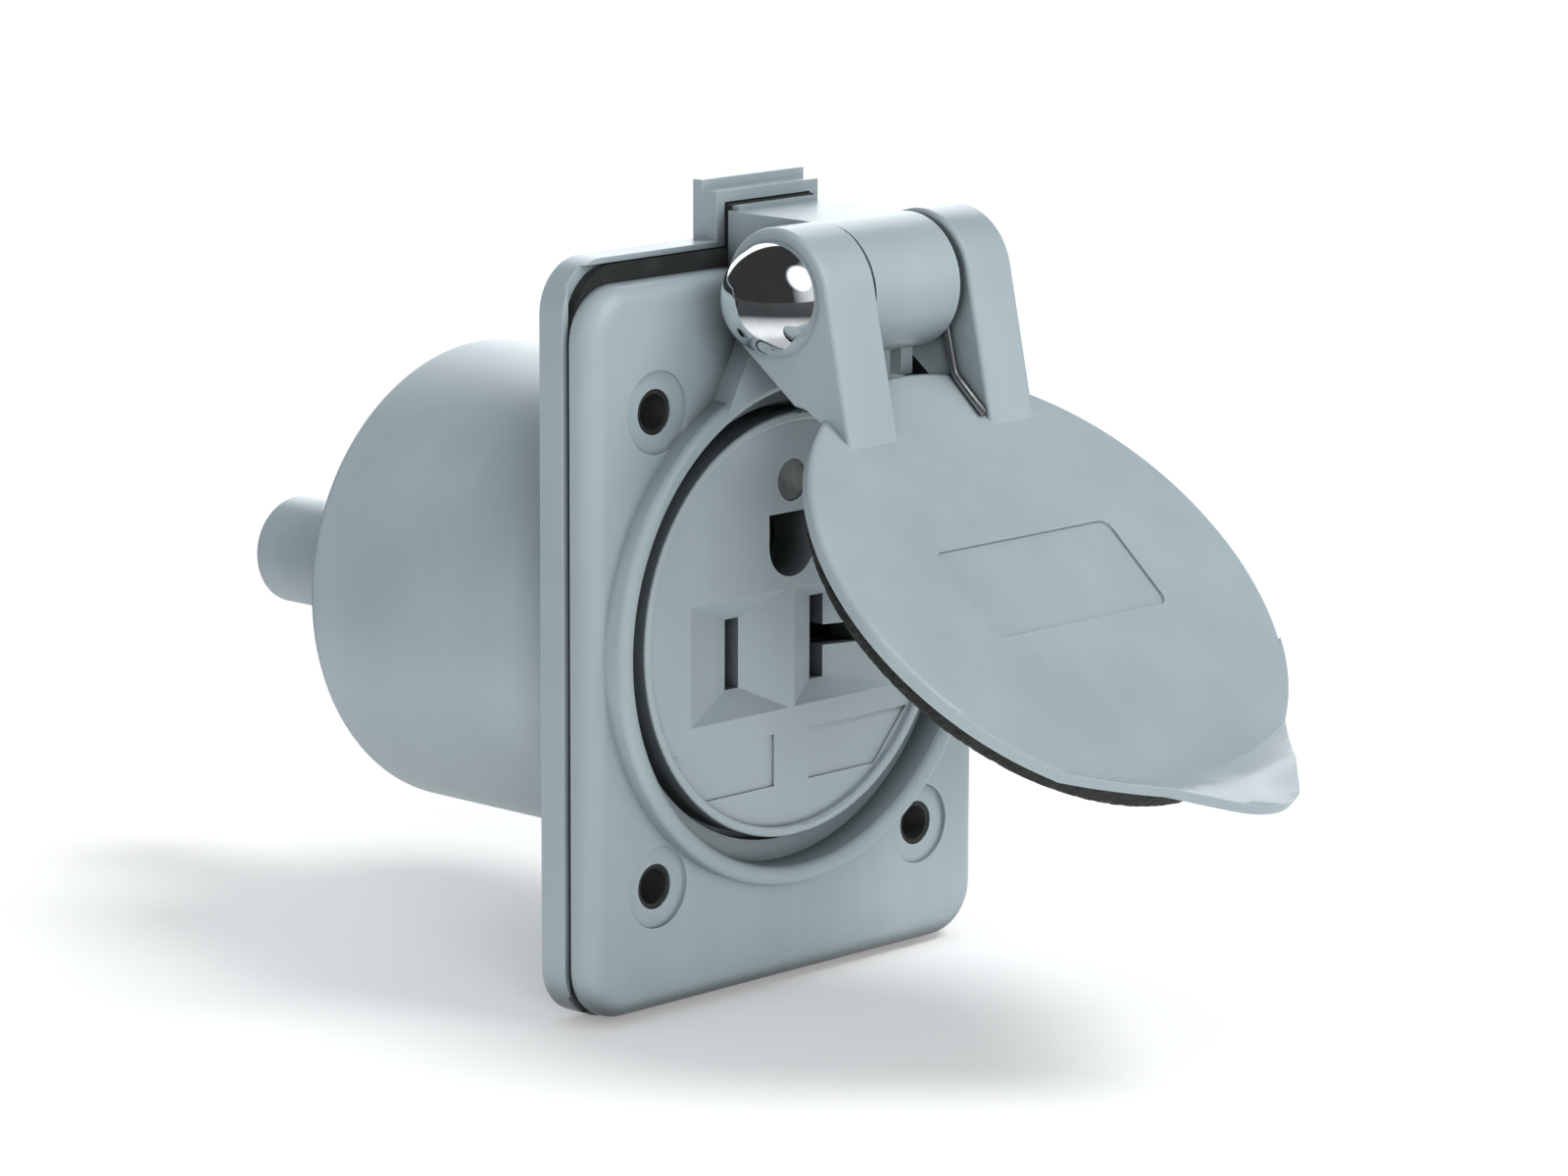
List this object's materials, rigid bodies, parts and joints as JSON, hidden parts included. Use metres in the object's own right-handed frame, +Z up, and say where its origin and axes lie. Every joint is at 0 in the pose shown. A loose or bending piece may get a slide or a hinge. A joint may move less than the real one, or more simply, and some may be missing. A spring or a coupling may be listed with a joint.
{
  "type": "flanged weatherproof receptacle",
  "caption": "Flanged straight-blade receptacle with a spring flip lid, raised sealing ring, rubber gaskets and a closed back cup with a rear cable boss.",
  "frame": {"origin": "on the receptacle's axis, at the rear face of the flange, which rests on the panel", "axes": "+Z up, +X to the right seen from the front, +Y back into the panel, so the face looks along -Y"},
  "size_m": [0.0588, 0.1424, 0.0841],
  "materials": {
    "grey_moulding": "satin moulded thermoplastic",
    "cup_moulding": "satin moulded thermoplastic",
    "lid_moulding": "satin moulded thermoplastic",
    "face_moulding": "satin moulded thermoset",
    "base_moulding": "matt moulded thermoset",
    "black_rubber": "matt rubber",
    "black_foam": "closed-cell foam rubber",
    "seal_rubber": "matt rubber",
    "grommet_rubber": "matt rubber",
    "pin_steel": "drawn steel",
    "cap_chrome": "bright plated",
    "spring_steel": "spring wire",
    "contact_brass": "formed strip",
    "screw_brass": "turned brass",
    "screw_nickel": "nickel plated",
    "screw_green": "green dyed zinc plate",
    "clamp_steel": "zinc plated",
    "rivet_nickel": "nickel plated",
    "zinc_screw": "zinc plated"
  },
  "bodies": {
    "plate": {"front_plate": "grey_moulding", "plate_gasket": "black_rubber", "back_cup": "cup_moulding", "receptacle_face": "face_moulding", "face_seal": "seal_rubber", "receptacle_base": "base_moulding", "hot_contact": "contact_brass", "neutral_contact": "contact_brass", "ground_contact": "contact_brass", "hot_screw": "screw_brass", "neutral_screw": "screw_nickel", "ground_screw": "screw_green", "wire_clamps": "clamp_steel", "face_rivet": "rivet_nickel", "base_screws": "zinc_screw", "cable_grommet": "grommet_rubber", "lid_spring": "spring_steel"},
    "flip_lid": {"lid": "lid_moulding", "lid_gasket": "black_foam", "hinge_pin": "pin_steel", "pin_caps": "cap_chrome"}
  },
  "joints": [
    {"name": "lid_hinge", "type": "hinge", "parent": "plate", "child": "flip_lid", "pos_m": [0, -0.01765, 0.0364], "axis": [-1, 0, 0], "range_deg": [-48.7, 71.3], "deforming": ["lid_spring"]}
  ]
}
